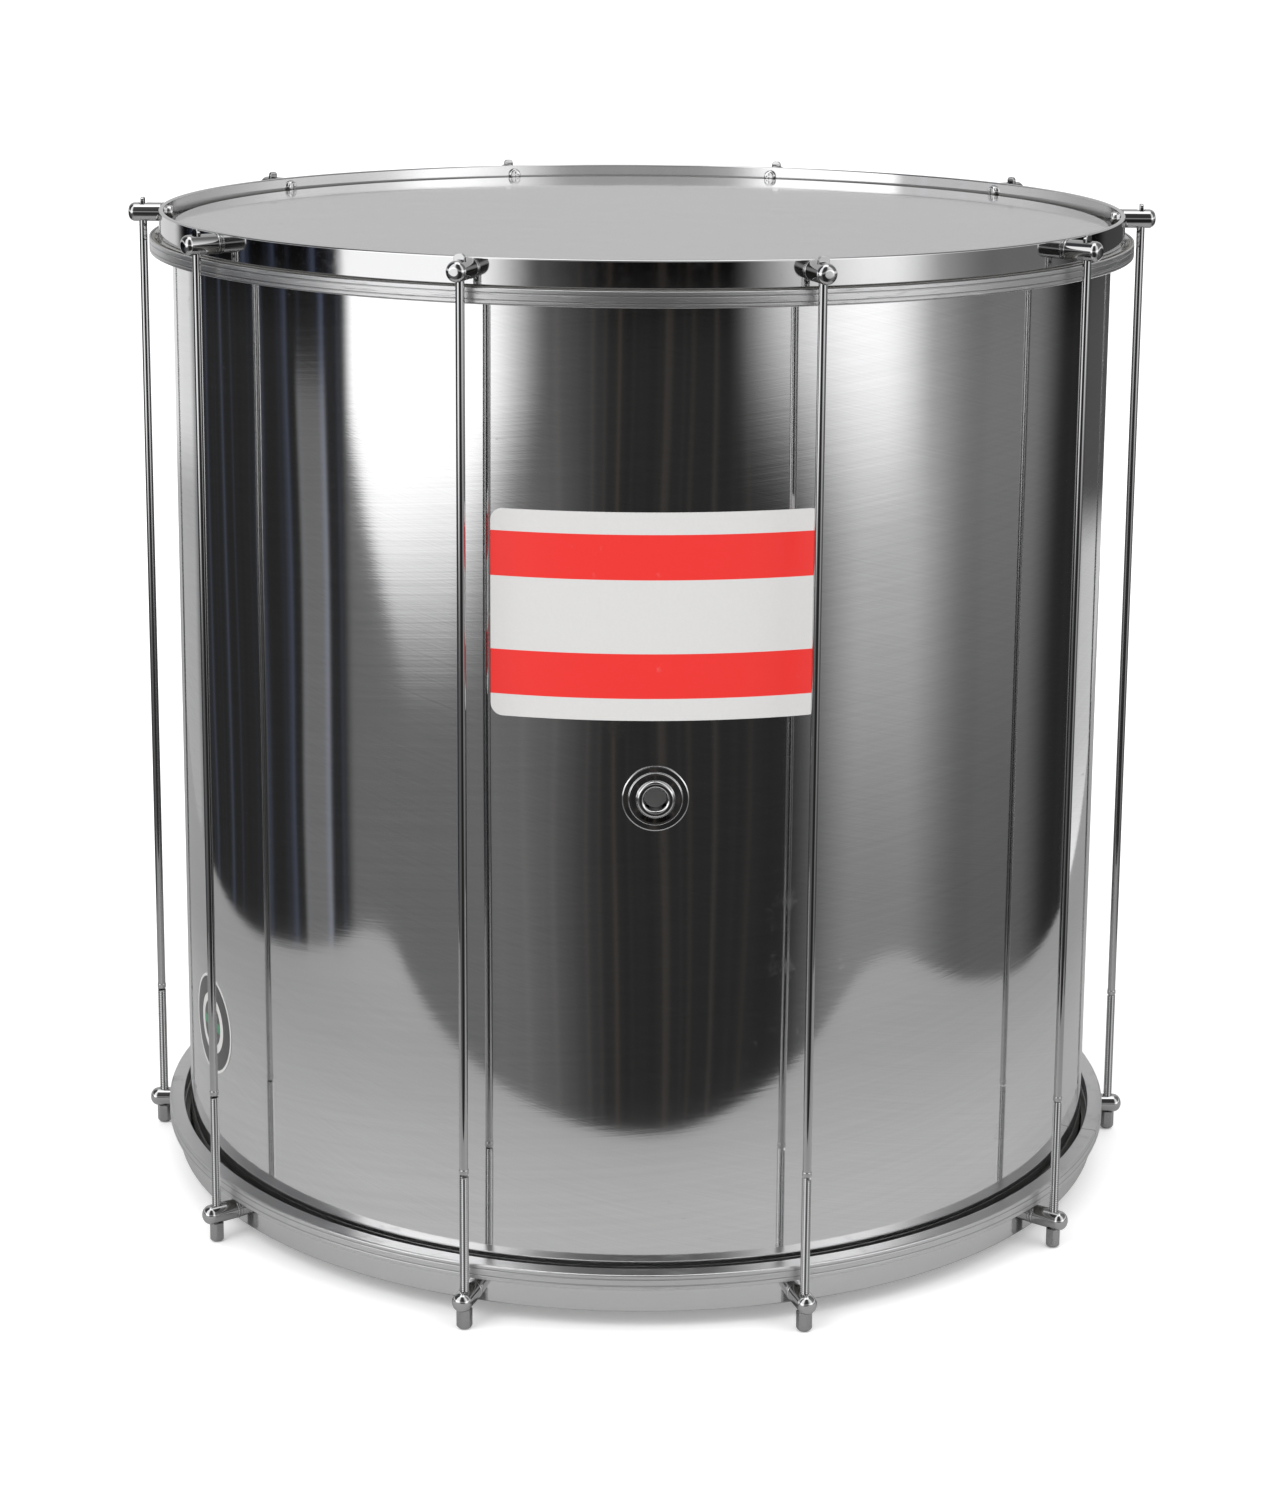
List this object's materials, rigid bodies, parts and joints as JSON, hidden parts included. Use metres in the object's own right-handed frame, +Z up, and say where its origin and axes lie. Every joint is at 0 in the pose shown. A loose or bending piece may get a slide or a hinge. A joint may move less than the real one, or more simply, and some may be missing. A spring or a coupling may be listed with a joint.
{
  "type": "double-headed bass drum",
  "caption": "Deep aluminium cylinder drum with a film head, channel hoop and band rim at each end, drawn together by full-length threaded tension rods.",
  "frame": {"origin": "bottom centre of the drum, in the plane of the standing ends of the tension nuts", "axes": "+Z up along the shell's axis, toward the batter head; -Y toward the vent and the front label; +X to the right of the front"},
  "size_m": [0.5604, 0.5344, 0.5343],
  "materials": {
    "shell_aluminium": "polished with fine circumferential brushing",
    "hoop_aluminium": "satin with light scuffs",
    "chrome": "mirror",
    "rod_chrome": "bright plated",
    "screw_steel": "bright plated",
    "nut_nickel": "satin nickel plate",
    "head_film": "milky, smooth, slightly glossy",
    "hoop_resin": "cast filler",
    "label_film": "printed vinyl sheet"
  },
  "bodies": {
    "drum_body": {"shell": "shell_aluminium", "vent_grommet": "chrome", "vent_lock_ring": "chrome", "resonant_film": "head_film", "resonant_hoop": "hoop_aluminium", "resonant_resin": "hoop_resin", "bottom_rim": "chrome", "bottom_peg_washers": "chrome", "bottom_peg_screws": "screw_steel", "bottom_peg_01": "chrome", "bottom_peg_02": "chrome", "bottom_peg_03": "chrome", "bottom_peg_04": "chrome", "bottom_peg_05": "chrome", "bottom_peg_06": "chrome", "bottom_peg_07": "chrome", "bottom_peg_08": "chrome", "bottom_peg_09": "chrome", "bottom_peg_10": "chrome", "front_label": "label_film", "side_label": "label_film"},
    "top_rim_assembly": {"batter_film": "head_film", "batter_hoop": "hoop_aluminium", "batter_resin": "hoop_resin", "top_rim": "chrome", "top_peg_washers": "chrome", "top_peg_screws": "screw_steel", "top_peg_01": "chrome", "top_peg_02": "chrome", "top_peg_03": "chrome", "top_peg_04": "chrome", "top_peg_05": "chrome", "top_peg_06": "chrome", "top_peg_07": "chrome", "top_peg_08": "chrome", "top_peg_09": "chrome", "top_peg_10": "chrome", "tension_rod_01": "rod_chrome", "tension_rod_02": "rod_chrome", "tension_rod_03": "rod_chrome", "tension_rod_04": "rod_chrome", "tension_rod_05": "rod_chrome", "tension_rod_06": "rod_chrome", "tension_rod_07": "rod_chrome", "tension_rod_08": "rod_chrome", "tension_rod_09": "rod_chrome", "tension_rod_10": "rod_chrome"},
    "tension_nut_01": {"tension_nut_01": "nut_nickel"},
    "tension_nut_02": {"tension_nut_02": "nut_nickel"},
    "tension_nut_03": {"tension_nut_03": "nut_nickel"},
    "tension_nut_04": {"tension_nut_04": "nut_nickel"},
    "tension_nut_05": {"tension_nut_05": "nut_nickel"},
    "tension_nut_06": {"tension_nut_06": "nut_nickel"},
    "tension_nut_07": {"tension_nut_07": "nut_nickel"},
    "tension_nut_08": {"tension_nut_08": "nut_nickel"},
    "tension_nut_09": {"tension_nut_09": "nut_nickel"},
    "tension_nut_10": {"tension_nut_10": "nut_nickel"}
  },
  "joints": [
    {"name": "top_rim_lift", "type": "slide", "parent": "drum_body", "child": "top_rim_assembly", "axis": [0, 0, 1], "range_m": [0, 0.008]},
    {"name": "tension_nut_01_turn", "type": "hinge", "parent": "drum_body", "child": "tension_nut_01", "pos_m": [0.08421, -0.25916, 0.005], "axis": [0, 0, 1], "range_deg": [-2722, 0]},
    {"name": "tension_nut_02_turn", "type": "hinge", "parent": "drum_body", "child": "tension_nut_02", "pos_m": [0.22046, -0.16017, 0.005], "axis": [0, 0, 1], "range_deg": [-2722, 0]},
    {"name": "tension_nut_03_turn", "type": "hinge", "parent": "drum_body", "child": "tension_nut_03", "pos_m": [0.2725, 0, 0.005], "axis": [0, 0, 1], "range_deg": [-2722, 0]},
    {"name": "tension_nut_04_turn", "type": "hinge", "parent": "drum_body", "child": "tension_nut_04", "pos_m": [0.22046, 0.16017, 0.005], "axis": [0, 0, 1], "range_deg": [-2722, 0]},
    {"name": "tension_nut_05_turn", "type": "hinge", "parent": "drum_body", "child": "tension_nut_05", "pos_m": [0.08421, 0.25916, 0.005], "axis": [0, 0, 1], "range_deg": [-2722, 0]},
    {"name": "tension_nut_06_turn", "type": "hinge", "parent": "drum_body", "child": "tension_nut_06", "pos_m": [-0.08421, 0.25916, 0.005], "axis": [0, 0, 1], "range_deg": [-2722, 0]},
    {"name": "tension_nut_07_turn", "type": "hinge", "parent": "drum_body", "child": "tension_nut_07", "pos_m": [-0.22046, 0.16017, 0.005], "axis": [0, 0, 1], "range_deg": [-2722, 0]},
    {"name": "tension_nut_08_turn", "type": "hinge", "parent": "drum_body", "child": "tension_nut_08", "pos_m": [-0.2725, 0, 0.005], "axis": [0, 0, 1], "range_deg": [-2722, 0]},
    {"name": "tension_nut_09_turn", "type": "hinge", "parent": "drum_body", "child": "tension_nut_09", "pos_m": [-0.22046, -0.16017, 0.005], "axis": [0, 0, 1], "range_deg": [-2722, 0]},
    {"name": "tension_nut_10_turn", "type": "hinge", "parent": "drum_body", "child": "tension_nut_10", "pos_m": [-0.08421, -0.25916, 0.005], "axis": [0, 0, 1], "range_deg": [-2722, 0]}
  ],
  "couplings": [
    {"joint": "tension_nut_01_turn", "follows": "top_rim_lift", "rad_per_m": -5936.9},
    {"joint": "tension_nut_02_turn", "follows": "top_rim_lift", "rad_per_m": -5936.9},
    {"joint": "tension_nut_03_turn", "follows": "top_rim_lift", "rad_per_m": -5936.9},
    {"joint": "tension_nut_04_turn", "follows": "top_rim_lift", "rad_per_m": -5936.9},
    {"joint": "tension_nut_05_turn", "follows": "top_rim_lift", "rad_per_m": -5936.9},
    {"joint": "tension_nut_06_turn", "follows": "top_rim_lift", "rad_per_m": -5936.9},
    {"joint": "tension_nut_07_turn", "follows": "top_rim_lift", "rad_per_m": -5936.9},
    {"joint": "tension_nut_08_turn", "follows": "top_rim_lift", "rad_per_m": -5936.9},
    {"joint": "tension_nut_09_turn", "follows": "top_rim_lift", "rad_per_m": -5936.9},
    {"joint": "tension_nut_10_turn", "follows": "top_rim_lift", "rad_per_m": -5936.9}
  ]
}
